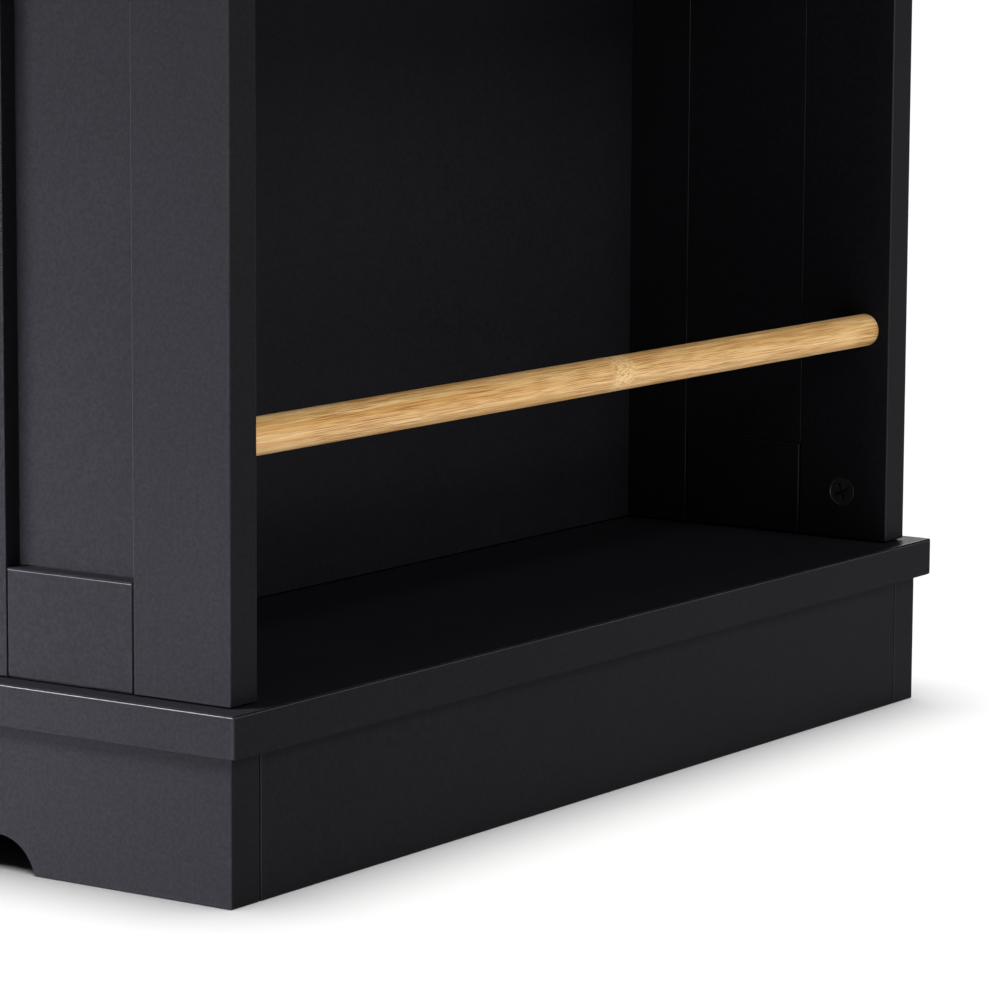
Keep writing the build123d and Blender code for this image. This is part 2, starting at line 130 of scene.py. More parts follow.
# Softboxes: place, target, width, height, power in watts, spread of the grid in degrees,
# and whether they are mirrored in shiny faces
SOFTBOXES = {
    "key_softbox": ((-0.75, -1.8, 1.9), (0.45, -0.28, -0.3), 0.9, 0.9, 16.0, 40.0, False),
    "low_softbox": ((-0.10, -1.25, 0.08), (-0.10, 0.0, 0.06), 1.4, 0.2, 12.2, 60.0, False),
    "strip_softbox": ((-0.77, -2.08, 0.52), (0.45, -0.28, 0.1), 1.7, 0.3, 21.0, 180.0, True),
    "end_softbox": ((2.6, 1.0, 0.55), (0.4, 0.0, 0.15), 1.6, 1.0, 6.0, 180.0, True),
    "near_softbox": ((2.8, -0.9, 0.5), (0.4, 0.0, 0.15), 1.4, 0.8, 3.9, 180.0, True),
    "rack_softbox": ((2.0, 0.1, 1.3), (0.35, 0.1, 0.1), 0.9, 0.7, 18.7, 180.0, False),
    "top_softbox": ((0.5, 0.0, 2.8), (0.5, 0.0, 0.0), 1.5, 1.5, 8.0, 180.0, False),
    "back_softbox": ((-1.0, 2.7, 0.7), (0.4, 0.3, 0.1), 2.4, 1.4, 30.0, 180.0, True),
    "closed_end_softbox": ((-2.8, 0.3, 1.0), (-0.4, 0.0, 0.4), 1.6, 1.2, 40.0, 180.0, True),
}

body_of_node = {
    node: body
    for body, nodes in frame["record"]["behaviour"]["bodies"].items()
    for node in nodes
}


# ---- sizes, finishes and stage that a user may change ----

def length(name, description, default):
    """A length setting in metres."""
    return FloatProperty(
        name=name,
        description=description,
        default=default,
        min=0.0,
        precision=5,
        subtype="DISTANCE",
        unit="LENGTH",
    )


def colour(name, description, default):
    """A colour setting."""
    return FloatVectorProperty(
        name=name,
        description=description,
        default=default,
        size=3,
        min=0.0,
        max=1.0,
        subtype="COLOR",
    )


def amount(name, description, default, high=1.0):
    """A plain number setting."""
    return FloatProperty(name=name, description=description, default=default, min=0.0, max=high)


class IslandSizes(bpy.types.PropertyGroup):
    arris: length("Arris", "Eased long edge of a painted board", 0.6 * MM)
    rail_arris: length("Rail arris", "Eased long edge of a rail", 1.1 * MM)
    end_arris: length("End arris", "Eased edge across the end of a board", 0.35 * MM)
    panel_arris: length("Panel arris", "Eased edge of a panel", 0.3 * MM)
    seam: length("Seam", "Open joint line where a board meets its neighbour", 0.9 * MM)
    toe_height: length("Toe gap height", "Height of the cut-out under the long plinth boards", 15.5 * MM)
    toe_radius: length("Toe gap radius", "Round at each end of that cut-out", 20 * MM)
    foot_length: length("Foot length", "Solid foot left at each end of the cut-out", 104 * MM)
    base_corner: length("Base board corner", "Round at the base board's four corners", 1 * MM)
    base_round: length("Base board round", "Round along the top edges of the base board", 2.5 * MM)
    worktop_round: length("Worktop round", "Round along the top edges of the worktop", 3 * MM)
    worktop_foot: length("Worktop foot", "Round along its bottom edges", 1 * MM)
    worktop_corner: length("Worktop corner", "Round at the worktop's four corners", 5 * MM)
    rail_round: length("Rail end round", "Round at the ends of the guard rails", 1.2 * MM)
    cam_rim: length("Cam rim", "Width of the raised rim of a cam lock", 1.1 * MM)
    screw_radius: length("Screw head radius", "Radius of the small screw heads", 2.6 * MM)


class IslandFinishes(bpy.types.PropertyGroup):
    paint: colour("Paint", "Satin paint on the boards", (0.0118, 0.0114, 0.0140))
    paint_low: colour("Paint, thin", "Paint where the coat is thinner", (0.0082, 0.0079, 0.0097))
    paint_roughness: amount("Paint roughness", "Roughness of the flat painted faces", 0.42)
    paint_index: amount("Paint index", "Refractive index of the paint", 1.08, 2.0)
    bamboo: colour("Bamboo", "Body colour of the bamboo", (0.63, 0.35, 0.115))
    bamboo_light: colour("Bamboo, light", "Pale fibres and the bands at the joints", (0.80, 0.55, 0.255))
    bamboo_dark: colour("Bamboo, dark", "Dark fibres", (0.35, 0.145, 0.03))
    cane_length: length("Cane length", "Distance from one joint of the cane to the next", 321.6 * MM)
    stave: colour("Worktop wood", "Body colour of the worktop's staves", (0.56, 0.35, 0.165))
    stave_light: colour("Worktop wood, light", "Palest staves", (0.70, 0.48, 0.26))
    stave_dark: colour("Worktop wood, dark", "Dark grain lines", (0.33, 0.18, 0.075))
    stave_width: length("Stave width", "Width of the worktop's staves", 42 * MM)
    stave_length: length("Stave length", "Length of the worktop's staves", 470 * MM)
    board: colour("Drawer board", "Faced board of the drawer boxes", (0.30, 0.29, 0.29))
    zinc: colour("Zinc", "Zinc plated steel", (0.62, 0.63, 0.64))
    cast: colour("Blackened zinc", "Blackened cast cam locks", (0.018, 0.018, 0.019))
    powder: colour("Powder coat", "Black hinges", (0.030, 0.030, 0.032))
    plastic: colour("Plastic", "Moulded door catches", (0.05, 0.05, 0.05))


class IslandStage(bpy.types.PropertyGroup):
    floor: colour("Floor", "Plain pale floor", (0.86, 0.86, 0.86))
    sky: colour("Surroundings", "Even light from all round", (1.0, 1.0, 1.0))
    sky_strength: amount("Surroundings strength", "Strength of the even light", 0.012, 10.0)
    softbox_power: amount("Softbox power", "Factor on the power of all the softboxes", 1.0, 100.0)
    wash_strength: amount("Floor wash", "Strength of the light that keeps the floor pale", 3.9, 100.0)
    lens: amount("Focal length", "Focal length of the camera in millimetres", 162.986, 1000.0)


# ---- meshes ----

def new_mesh():
    """An empty mesh with the marks that the finishes read."""
    bm = bmesh.new()
    bm.verts.layers.float_vector.new(GRAIN)
    bm.faces.layers.float.new(EDGE_SHEEN)
    return bm


def cad_copy(node):
    """A copy of a CAD node's mesh, welded and with its flat faces whole."""
    bm = new_mesh()
    bm.from_mesh(frame["nodes"][node].data)
    bmesh.ops.remove_doubles(bm, verts=bm.verts[:], dist=WELD)
    bmesh.ops.dissolve_limit(
        bm,
        angle_limit=math.radians(0.5),
        use_dissolve_boundaries=False,
        verts=bm.verts[:],
        edges=bm.edges[:],
        delimit=set(),
    )
    return bm


def loose_parts(bm):
    """The vertices of each separate solid in a mesh."""
    waiting = set(bm.verts)
    parts = []
    for first in bm.verts:
        if first not in waiting:
            continue
        waiting.remove(first)
        part = [first]
        for vert in part:
            for edge in vert.link_edges:
                other = edge.other_vert(vert)
                if other in waiting:
                    waiting.remove(other)
                    part.append(other)
        parts.append(part)
    return parts


def limits(verts):
    """Lowest and highest corner of some vertices."""
    low = Vector([min(vert.co[axis] for vert in verts) for axis in range(3)])
    high = Vector([max(vert.co[axis] for vert in verts) for axis in range(3)])
    return low, high


def cad_parts(node):
    """Lowest and highest corner of each solid in a CAD node, from left to right."""
    bm = cad_copy(node)
    boxes = [limits(part) for part in loose_parts(bm)]
    bm.free()
    return sorted(boxes, key=lambda box: [round(value, 4) for value in (*box[0], *box[1])])


def draw_in(bm, letter, gap):
    """Draw in the rims of the faces that meet a neighbour on an axis; their middles stay in touch."""
    axis = "xyz".index(letter.lower())
    whole = limits(bm.verts)
    for part in loose_parts(bm):
        low, high = limits(part)
        tongue = min(2.5 * MM, 0.3 * min(high - low))
        for side, inward in ((0, 1), (1, -1)):
            level = (low, high)[side][axis]
            if letter.isupper() and abs(level - whole[side][axis]) > TOUCH:
                continue
            edge_on = {vert for vert in part if abs(vert.co[axis] - level) < TOUCH}
            faces = dict.fromkeys(face for vert in part for face in vert.link_faces)
            faces = [face for face in faces if edge_on.issuperset(face.verts)]
            for vert in edge_on:
                vert.co[axis] += inward * gap
            bmesh.ops.inset_region(
                bm,
                faces=faces,
                thickness=tongue,
                depth=gap,
                use_boundary=True,
                use_even_offset=True,
            )


def square_edges(bm, shortest=4 * MM):
    """The outward corners of a mesh that are square and longer than a drilled hole's facets."""
    return [
        edge
        for edge in bm.edges
        if edge.is_manifold
        and edge.is_convex
        and edge.calc_face_angle() > SQUARE
        and edge.calc_length() > shortest
    ]


def upright_edges(bm):
    """The edges of a board that run up and down."""
    return [edge for edge in bm.edges if abs(edge.verts[0].co.z - edge.verts[1].co.z) > WELD]


def level_edges(bm, level, way):
    """The square edges wholly above a level, or with way -1 wholly below it."""
    edges = square_edges(bm, 0)
    return [edge for edge in edges if min(way * (vert.co.z - level) for vert in edge.verts) > 0]


def along_boards(bm, edges):
    """Those of some edges that run along the longest side of their own board."""
    chosen = set(edges)
    found = []
    for part in loose_parts(bm):
        low, high = limits(part)
        longest = max(range(3), key=lambda axis: high[axis] - low[axis])
        for edge in dict.fromkeys(edge for vert in part for edge in vert.link_edges):
            run = edge.verts[1].co - edge.verts[0].co
            if edge in chosen and abs(run[longest]) > 0.99 * run.length:
                found.append(edge)
    return found


def ease(bm, edges, width, segments=3, sheen=1.0):
    """Round edges off by a width, and mark how much painted sheen the new faces get."""
    made = bmesh.ops.bevel(
        bm,
        geom=edges,
        offset=width,
        offset_type="OFFSET",
        profile_type="SUPERELLIPSE",
        profile=0.5,
        segments=segments,
        affect="EDGES",
        clamp_overlap=True,
        material=-1,
    )
    mark = bm.faces.layers.float[EDGE_SHEEN]
    for face in made["faces"]:
        face[mark] = sheen


def scale_marks(bm, share):
    """Scale the marks of the eased edges by a share worked out from each face's normal."""
    mark = bm.faces.layers.float[EDGE_SHEEN]
    for face in bm.faces:
        face.normal_update()
        face[mark] *= share(face.normal)


def block(bm, low, high, width, segments=2):
    """Add a board between two corners with all its edges eased."""
    low, high = Vector(map(min, low, high)), Vector(map(max, low, high))
    matrix = Matrix.Translation((low + high) / 2) @ Matrix.Diagonal((*(high - low), 1))
    made = bmesh.ops.create_cube(bm, size=1, matrix=matrix)
    edges = dict.fromkeys(edge for vert in made["verts"] for edge in vert.link_edges)
    if width:
        ease(bm, list(edges), width, segments)


def arc(centre, radius, start, end, steps=8):
    """Points on a round stretch between two angles in degrees."""
    angles = [math.radians(start + (end - start) * step / steps) for step in range(steps + 1)]
    return [(centre[0] + radius * math.cos(a), centre[1] + radius * math.sin(a)) for a in angles]


def turned(bm, profile, matrix, segments=40, ring=False):
    """Add a solid turned about local Z from (radius, height) points; a ring's profile is closed."""
    rows = []
    for radius, height in profile:
        angles = [2 * math.pi * step / segments for step in range(segments)] if radius > WELD else [0]
        points = [Vector((radius * math.cos(a), radius * math.sin(a), height)) for a in angles]
        rows.append([bm.verts.new(matrix @ point) for point in points])
    if ring:
        rows.append(rows[0])
    for low, high in zip(rows, rows[1:]):
        for step in range(segments):
            after = (step + 1) % segments
            corners = (low[step % len(low)], low[after % len(low)])
            corners += (high[after % len(high)], high[step % len(high)])
            bm.faces.new(list(dict.fromkeys(corners)))


def prism(bm, outline, start, end, place):
    """Add a solid with the given outline between two levels; place(a, b, level) gives a point."""
    near = [bm.verts.new(place(a, b, start)) for a, b in outline]
    far = [bm.verts.new(place(a, b, end)) for a, b in outline]
    bm.faces.new(near)
    bm.faces.new(far[::-1])
    for index in range(len(outline)):
        after = (index + 1) % len(outline)
        bm.faces.new((near[index], far[index], far[after], near[after]))


def pointing(place, direction):
    """The matrix that stands local +Z along a direction at a place."""
    turn = Vector(direction).to_track_quat("Z", "Y")
    return Matrix.Translation(place) @ turn.to_matrix().to_4x4()


def carve(bm, cutter):
    """Cut one closed mesh out of another."""
    objects = []
    for source in (bm, cutter):
        bmesh.ops.recalc_face_normals(source, faces=source.faces[:])
        mesh = bpy.data.meshes.new("carving")
        source.to_mesh(mesh)
        source.free()
        objects.append(bpy.data.objects.new("carving", mesh))
        bpy.context.scene.collection.objects.link(objects[-1])
    cut = objects[0].modifiers.new("Cut", "BOOLEAN")
    cut.object = objects[1]
    cut.solver = "EXACT"
    result = bmesh.new()
    result.from_object(objects[0], bpy.context.evaluated_depsgraph_get())
    for thing in objects:
        bpy.data.meshes.remove(thing.data)
    return result


def add_copies(bm, template, matrices):
    """Add a copy of a template mesh at each matrix."""
    for matrix in matrices:
        mesh = template.copy()
        mesh.transform(matrix)
        bm.from_mesh(mesh)
        bpy.data.meshes.remove(mesh)


def lay_grain(bm):
    """Give each loose board its own wood coordinates, with the grain along its longest side."""
    layer = bm.verts.layers.float_vector[GRAIN]
    for number, part in enumerate(loose_parts(bm)):
        low, high = limits(part)
        size = high - low
        order = sorted(range(3), key=lambda axis: size[axis])
        shift = Vector((0.61, 0.37, 0.83)) * (number + low.x - 3 * low.y + 2 * low.z)
        for vert in part:
            vert[layer] = Vector((vert.co[order[1]], vert.co[order[0]], vert.co[order[2]])) + shift


def place_piece(bm, name, slot, node):
    """Make the finished piece that stands for a CAD node and moves with its body."""
    bmesh.ops.recalc_face_normals(bm, faces=bm.faces[:])
    for face in bm.faces:
        face.smooth = True
    for edge in bm.edges:
        edge.smooth = not edge.is_manifold or edge.calc_face_angle() < SHARP
    lay_grain(bm)
    mesh = bpy.data.meshes.new(name)
    bm.to_mesh(mesh)
    bm.free()
    mesh.materials.append(finish(slot))
    piece = bpy.data.objects.new(name, mesh)
    bpy.context.scene.collection.objects.link(piece)
    even = piece.modifiers.new("Even shading", "WEIGHTED_NORMAL")
    even.keep_sharp = True
    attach(piece, body_of_node[node])
    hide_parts(node)
    return piece


def dress(node, seams="", slot="black_paint", arris=None, prefix="painted"):
    """Rebuild a node's boards with eased edges and a seam along the faces named by axis."""
    sizes = bpy.context.scene.island_sizes
    arris = sizes.arris if arris is None else arris
    bm = cad_copy(node)
    for letter in seams:
        draw_in(bm, letter, sizes.seam)
    long_edges = along_boards(bm, square_edges(bm))
    ease(bm, long_edges, arris)
    ease(bm, square_edges(bm), min(arris, sizes.end_arris), 2)
    # edges that face up get the most painted sheen, the rest only a little
    scale_marks(bm, lambda normal: max(LEAST_SHEEN, min(1.0, SHEEN_RISE * normal.z)))
    return place_piece(bm, f"{prefix}_{node}", slot, node)


# ---- finishes ----

def start_finish(name):
    """A new material with its node tree and its shader."""
    material = bpy.data.materials.new(name)
    material.use_nodes = True
    tree = material.node_tree
    return material, tree, tree.nodes["Principled BSDF"]


def feed(tree, node, inputs):
    """Set a node's inputs, each from a value or from another node's output."""
    for key, value in inputs.items():
        if isinstance(value, bpy.types.NodeSocket):
            tree.links.new(value, node.inputs[key])
        else:
            node.inputs[key].default_value = value


def attribute(tree, name, output):
    """Read one of the marks that the meshes carry."""
    node = tree.nodes.new("ShaderNodeAttribute")
    node.attribute_name = name
    return node.outputs[output]


def stretched(tree, vector, scale):
    """Coordinates stretched by a scale for each axis."""
    node = tree.nodes.new("ShaderNodeMapping")
    feed(tree, node, {"Vector": vector, "Scale": scale})
    return node.outputs["Vector"]


def noise(tree, vector, scale, detail=2.0, roughness=0.5):
    """A soft random pattern from 0 to 1, with scale in cells for each metre."""
    node = tree.nodes.new("ShaderNodeTexNoise")
    feed(tree, node, {"Vector": vector, "Scale": scale, "Detail": detail, "Roughness": roughness})
    return node.outputs["Fac"]


def spread(tree, value, low, high, to_low, to_high):
    """A value moved from one range to another and held inside it."""
    node = tree.nodes.new("ShaderNodeMapRange")
    ranges = {"From Min": low, "From Max": high, "To Min": to_low, "To Max": to_high}
    feed(tree, node, {"Value": value, **ranges})
    return node.outputs["Result"]


def maths(tree, operation, first, second=0.0, third=0.0):
    """One sum on one, two or three values."""
    node = tree.nodes.new("ShaderNodeMath")
    node.operation = operation
    feed(tree, node, {0: first, 1: second, 2: third})
    return node.outputs[0]


def mixed(tree, factor, first, second):
    """Two colours mixed."""
    node = tree.nodes.new("ShaderNodeMix")
    node.data_type = "RGBA"
    first, second = [
        (*value, 1.0) if not isinstance(value, bpy.types.NodeSocket) else value
        for value in (first, second)
    ]
    feed(tree, node, {0: factor, 6: first, 7: second})
    return node.outputs[2]


def relief(tree, shader, layers):
    """Surface relief from (height, distance) layers, one laid on the other."""
    normal = None
    for height, distance in layers:
        node = tree.nodes.new("ShaderNodeBump")
        feed(tree, node, {"Height": height, "Distance": distance, "Strength": 1.0})
        if normal is not None:
            tree.links.new(normal, node.inputs["Normal"])
        normal = node.outputs["Normal"]
    tree.links.new(normal, shader.inputs["Normal"])


def painted_wood():
    """Satin charcoal paint: mottled coat, orange peel, faint grain, and a clear coat on the eased edges as painted
    sheen.
    """
    settings = bpy.context.scene.island_finishes
    material, tree, shader = start_finish("Satin charcoal paint")
    grain = attribute(tree, GRAIN, "Vector")
    arris = attribute(tree, EDGE_SHEEN, "Fac")
    cloud = noise(tree, grain, 14.0, 3.0)
    mottle = noise(tree, grain, 620.0, 3.0, 0.7)
    peel = noise(tree, grain, 700.0, 2.0)
    fibre = noise(tree, stretched(tree, grain, (420.0, 420.0, 14.0)), 1.0, 3.0)
    patch = maths(tree, "MULTIPLY_ADD", mottle, 0.88, maths(tree, "MULTIPLY", cloud, 0.12))
    coat = spread(tree, patch, 0.39, 0.61, 0.0, 1.0)
    rough = settings.paint_roughness
    feed(tree, shader, {
        "Base Color": mixed(tree, coat, settings.paint_low, settings.paint),
        "Roughness": spread(tree, mottle, 0.3, 0.7, rough - 0.04, rough + 0.04),
        "IOR": settings.paint_index,
        # clear coat only on the eased edges: painted sheen that makes highlight lines along them
        "Coat Weight": maths(tree, "MULTIPLY", arris, spread(tree, cloud, 0.3, 0.7, 0.75, 1.0)),
        "Coat Roughness": 0.12,
        "Coat IOR": 2.3,
    })
    relief(tree, shader, [(fibre, 0.012 * MM), (peel, 0.02 * MM)])
    return material


def bamboo_wood():
    """Clear lacquered bamboo: fine fibres, and a mottled band at each joint of the cane."""
    settings = bpy.context.scene.island_finishes
    material, tree, shader = start_finish("Lacquered bamboo")
    grain = attribute(tree, GRAIN, "Vector")
    split = tree.nodes.new("ShaderNodeSeparateXYZ")
    tree.links.new(grain, split.inputs[0])
    fine = noise(tree, stretched(tree, grain, (2300.0, 2300.0, 38.0)), 1.0, 3.0, 0.65)
    coarse = noise(tree, stretched(tree, grain, (520.0, 520.0, 7.0)), 1.0, 2.0)
    cloud = noise(tree, grain, 26.0, 2.0)
    tone = spread(tree, coarse, 0.35, 0.65, 0.0, 1.0)
    body = mixed(tree, tone, settings.bamboo, settings.bamboo_light)
    lines = spread(tree, fine, 0.44, 0.62, 0.0, 1.0)
    dark = maths(tree, "MULTIPLY", lines, spread(tree, cloud, 0.35, 0.6, 0.45, 1.0))
    streaked = mixed(tree, dark, body, settings.bamboo_dark)
    wobble = maths(tree, "MULTIPLY_ADD", noise(tree, grain, 300.0), 0.008, -0.004)
    joint_at = maths(tree, "ADD", split.outputs["Z"], wobble)
    turn = maths(tree, "FRACT", maths(tree, "DIVIDE", joint_at, settings.cane_length))
    away = maths(tree, "ABSOLUTE", maths(tree, "SUBTRACT", turn, 0.5))
    joint = spread(tree, away, 0.018, 0.034, 1.0, 0.0)
    fleck = noise(tree, stretched(tree, grain, (1100.0, 1100.0, 420.0)), 1.0, 3.0, 0.7)
    flecks = spread(tree, fleck, 0.45, 0.65, 0.0, 0.8)
    flecked = mixed(tree, flecks, settings.bamboo_light, settings.bamboo_dark)
    feed(tree, shader, {
        "Base Color": mixed(tree, maths(tree, "MULTIPLY", joint, 0.85), streaked, flecked),
        "Roughness": spread(tree, fine, 0.3, 0.7, 0.42, 0.56),
        "IOR": 1.42,
    })
    relief(tree, shader, [(fine, 0.04 * MM), (joint, 0.03 * MM)])
    return material


def worktop_wood():
    """Oiled laminated wood: staves side by side, each with its own shade and grain."""
    settings = bpy.context.scene.island_finishes
    material, tree, shader = start_finish("Oiled laminated wood")
    grain = attribute(tree, GRAIN, "Vector")
    split = tree.nodes.new("ShaderNodeSeparateXYZ")
    tree.links.new(grain, split.inputs[0])
    row = maths(tree, "FLOOR", maths(tree, "DIVIDE", split.outputs["X"], settings.stave_width))
    shift = tree.nodes.new("ShaderNodeTexWhiteNoise")
    shift.noise_dimensions = "1D"
    tree.links.new(row, shift.inputs["W"])
    along = maths(tree, "DIVIDE", split.outputs["Z"], settings.stave_length)
    place = maths(tree, "ADD", along, shift.outputs["Value"])
    stave = tree.nodes.new("ShaderNodeCombineXYZ")
    feed(tree, stave, {"X": row, "Y": maths(tree, "FLOOR", place)})
    shade = tree.nodes.new("ShaderNodeTexWhiteNoise")
    tree.links.new(stave.outputs[0], shade.inputs["Vector"])
    moved = tree.nodes.new("ShaderNodeVectorMath")
    moved.operation = "MULTIPLY_ADD"
    feed(tree, moved, {0: shade.outputs["Color"], 1: (7.0, 7.0, 7.0), 2: grain})
    own = moved.outputs[0]
    lines = noise(tree, stretched(tree, own, (260.0, 260.0, 6.0)), 1.0, 4.0, 0.6)
    pores = noise(tree, stretched(tree, own, (1500.0, 1500.0, 40.0)), 1.0, 2.0)
    body = mixed(tree, shade.outputs["Value"], settings.stave, settings.stave_light)
    lined = mixed(tree, spread(tree, lines, 0.5, 0.75, 0.0, 0.7), body, settings.stave_dark)
    feed(tree, shader, {
        "Base Color": mixed(tree, spread(tree, pores, 0.58, 0.72, 0.0, 0.5), lined, settings.stave_dark),
        "Roughness": spread(tree, lines, 0.3, 0.7, 0.4, 0.52),
        "IOR": 1.45,
    })
    relief(tree, shader, [(lines, 0.03 * MM), (pores, 0.03 * MM)])
    return material


def faced_board():
    """Grey faced board with a fine printed fleck."""
    settings = bpy.context.scene.island_finishes
    material, tree, shader = start_finish("Grey faced board")
    grain = attribute(tree, GRAIN, "Vector")
    fleck = noise(tree, stretched(tree, grain, (900.0, 900.0, 120.0)), 1.0, 3.0)
    cloud = noise(tree, grain, 9.0, 2.0)
    light = [min(1.0, value * 1.18) for value in settings.board]
    feed(tree, shader, {
        "Base Color": mixed(tree, spread(tree, fleck, 0.3, 0.7, 0.0, 1.0), settings.board, light),
        "Roughness": spread(tree, cloud, 0.3, 0.7, 0.42, 0.55),
    })
    relief(tree, shader, [(fleck, 0.02 * MM)])
    return material


def pitted(name, setting, metallic, roughness, scale, depth):
    """A metal, powder coat or plastic finish with a fine pitted surface."""
    tint = getattr(bpy.context.scene.island_finishes, setting)
    material, tree, shader = start_finish(name)
    place = tree.nodes.new("ShaderNodeTexCoord").outputs["Object"]
    grit = noise(tree, place, scale, 3.0, 0.6)
    cloud = noise(tree, place, 120.0, 2.0)
    dull = [value * 0.8 for value in tint]
    feed(tree, shader, {
        "Base Color": mixed(tree, spread(tree, cloud, 0.3, 0.7, 0.0, 1.0), dull, tint),
        "Roughness": spread(tree, grit, 0.3, 0.7, roughness - 0.08, roughness + 0.08),
        "Metallic": metallic,
    })
    relief(tree, shader, [(grit, depth)])
    return material


made_finishes = {}


def finish(slot):
    """The material for one of the record's slots, made when it is first asked for."""
    woods = {
        "black_paint": painted_wood,
        "bamboo": bamboo_wood,
        "worktop_wood": worktop_wood,
        "drawer_board": faced_board,
    }
    if slot not in made_finishes:
        made_finishes[slot] = woods[slot]() if slot in woods else pitted(*PITTED[slot])
    return made_finishes[slot]


# ---- small fittings used in more than one place ----

def saved_mesh(bm, name):
    """Keep a mesh as a template."""
    bmesh.ops.recalc_face_normals(bm, faces=bm.faces[:])
    mesh = bpy.data.meshes.new(name)
    bm.to_mesh(mesh)
    bm.free()
    return mesh


def cross_cutter(arm, width, depth):
    """Two crossed blades that cut a cross slot down from local Z of 0."""
    blades = []
    for x, y in ((arm, width), (width, arm)):
        blades.append(new_mesh())
        block(blades[-1], (-x, -y, -depth), (x, y, depth), 0)
    return blades


def screw_template(radius):
    """A countersunk screw head, a little proud, with a cross slot."""
    head = new_mesh()
    dome = 0.25 * MM
    sunk = 0.6 * MM
    profile = [(0, -sunk), (radius, -sunk), (radius, 0), (radius * 0.7, dome * 0.7), (0, dome)]
    turned(head, profile, Matrix.Identity(4), segments=24)
    for cutter in cross_cutter(radius * 0.62, radius * 0.13, 0.45 * MM):
        head = carve(head, cutter)
    return saved_mesh(head, "screw_template")


def cam_template(radius, depth, rim):
    """A cam disc with a raised rim, a sunk face and a cross slot."""
    disc = new_mesh()
    bevel = 0.3 * MM
    sunk = 0.35 * MM
    profile = [(0, -depth), (radius, -depth), (radius, -bevel), (radius - bevel, 0), (radius - rim, 0)]
    profile += [(radius - rim - sunk, -sunk), (0, -sunk)]
    turned(disc, profile, Matrix.Identity(4), segments=64)
    arm, width, slot_depth = 4.5 * MM, 0.9 * MM, 2.5 * MM
    for cutter in cross_cutter(arm, width, slot_depth):
        disc = carve(disc, cutter)
    return saved_mesh(disc, "cam_template")


# ---- operators: one for each piece or group of like pieces ----

class ISLAND_OT_plinth(bpy.types.Operator):
    """Build the plinth, whose long boards have a shallow cut-out with rounded ends"""
    bl_idname = "island.plinth"
    bl_label = "Plinth"

    def execute(self, context):
        sizes = context.scene.island_sizes
        for node in ("front_plinth", "rear_plinth"):
            low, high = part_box(node)
            drop = sizes.toe_radius - sizes.toe_height
            foot_x = high.x - sizes.foot_length
            arc_x = foot_x - math.sqrt(sizes.toe_radius**2 - drop**2)
            steep = math.degrees(math.asin(drop / sizes.toe_radius))
            curve = arc((arc_x, -drop), sizes.toe_radius, 90, steep, 16)
            half = curve + [(high.x, low.z), (high.x, high.z)]
            outline = half + [(-x, z) for x, z in half[::-1]]
            bm = new_mesh()
            prism(bm, outline, low.y, high.y, lambda x, z, y: (x, y, z))
            bmesh.ops.recalc_face_normals(bm, faces=bm.faces[:])
            ends = [edge for edge in bm.edges if abs(edge.verts[0].co.y - edge.verts[1].co.y) < WELD]
            corners = square_edges(bm, sizes.toe_height)
            # the plinth's eased edges get only the least painted sheen
            ease(bm, list(dict.fromkeys(ends + corners)), sizes.arris, sheen=LEAST_SHEEN)
            place_piece(bm, f"painted_{node}", "black_paint", node)
        dress("rack_end_plinth", "y")
        dress("closed_end_plinth", "y")
        dress("plinth_cross_boards", "y")
        return {"FINISHED"}


class ISLAND_OT_base_board(bpy.types.Operator):
    """Build the base board: softly rounded above, eased below but for its two ends"""
    bl_idname = "island.base_board"
    bl_label = "Base board"

    def execute(self, context):
        sizes = context.scene.island_sizes
        low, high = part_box("base_board")
        bm = new_mesh()
        block(bm, low, high, 0)
        level = (low.z + high.z) / 2
        # painted sheen: little on the upright corners, less on the edges that face the ends, least below
        ease(bm, upright_edges(bm), sizes.base_corner, 4, CORNER_SHEEN)
        ease(bm, level_edges(bm, level, 1), sizes.base_round, 8)
        scale_marks(bm, lambda normal: END_SHEEN if abs(normal.x) > abs(normal.y) else 1.0)
        foot = level_edges(bm, level, -1)
        along = [edge for edge in foot if abs(edge.verts[0].co.x - edge.verts[1].co.x) >= WELD]
        ease(bm, along, sizes.arris, 3, LEAST_SHEEN)
        place_piece(bm, "painted_base_board", "black_paint", "base_board")
        return {"FINISHED"}


class ISLAND_OT_frames(bpy.types.Operator):
    """Build the stiles, rails and panels of the cheeks, the closed end and the back"""
    bl_idname = "island.frames"
    bl_label = "Frames and panels"

    def execute(self, context):
        sizes = context.scene.island_sizes
        for node, seams in FRAME_BOARDS.items():
            dress(node, seams, arris=sizes.rail_arris if "rail" in node else sizes.arris)
        for node in PANELS:
            dress(node, arris=sizes.panel_arris)
        return {"FINISHED"}


class ISLAND_OT_carcass(bpy.types.Operator):
    """Build the divider, shelves, partition and the boards under the worktop"""
    bl_idname = "island.carcass"
    bl_label = "Carcass boards"

    def execute(self, context):
        for node, seams in CARCASS_BOARDS.items():
            dress(node, seams)
        return {"FINISHED"}


class ISLAND_OT_guard_rails(bpy.types.Operator):
    """Build the round bamboo rails across the open rack"""
    bl_idname = "island.guard_rails"
    bl_label = "Guard rails"

    def execute(self, context):
        sizes = context.scene.island_sizes
        for node in ("lower_guard_rail", "middle_guard_rail", "upper_guard_rail"):
            low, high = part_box(node)
            radius = (high.z - low.z) / 2
            half = (high.y - low.y) / 2
            soft = sizes.rail_round
            end = arc((radius - soft, half - soft), soft, 0, 90, 5)
            rings = 12
            shaft = [(radius, (half - soft) * step / rings) for step in range(rings)]
            side = shaft + end + [(0, half)]
            profile = [(r, -h) for r, h in side[:0:-1]] + side
            bm = new_mesh()
            turned(bm, profile, pointing((low + high) / 2, (0, 1, 0)), segments=64)
            place_piece(bm, f"bamboo_{node}", "bamboo", node)
        return {"FINISHED"}


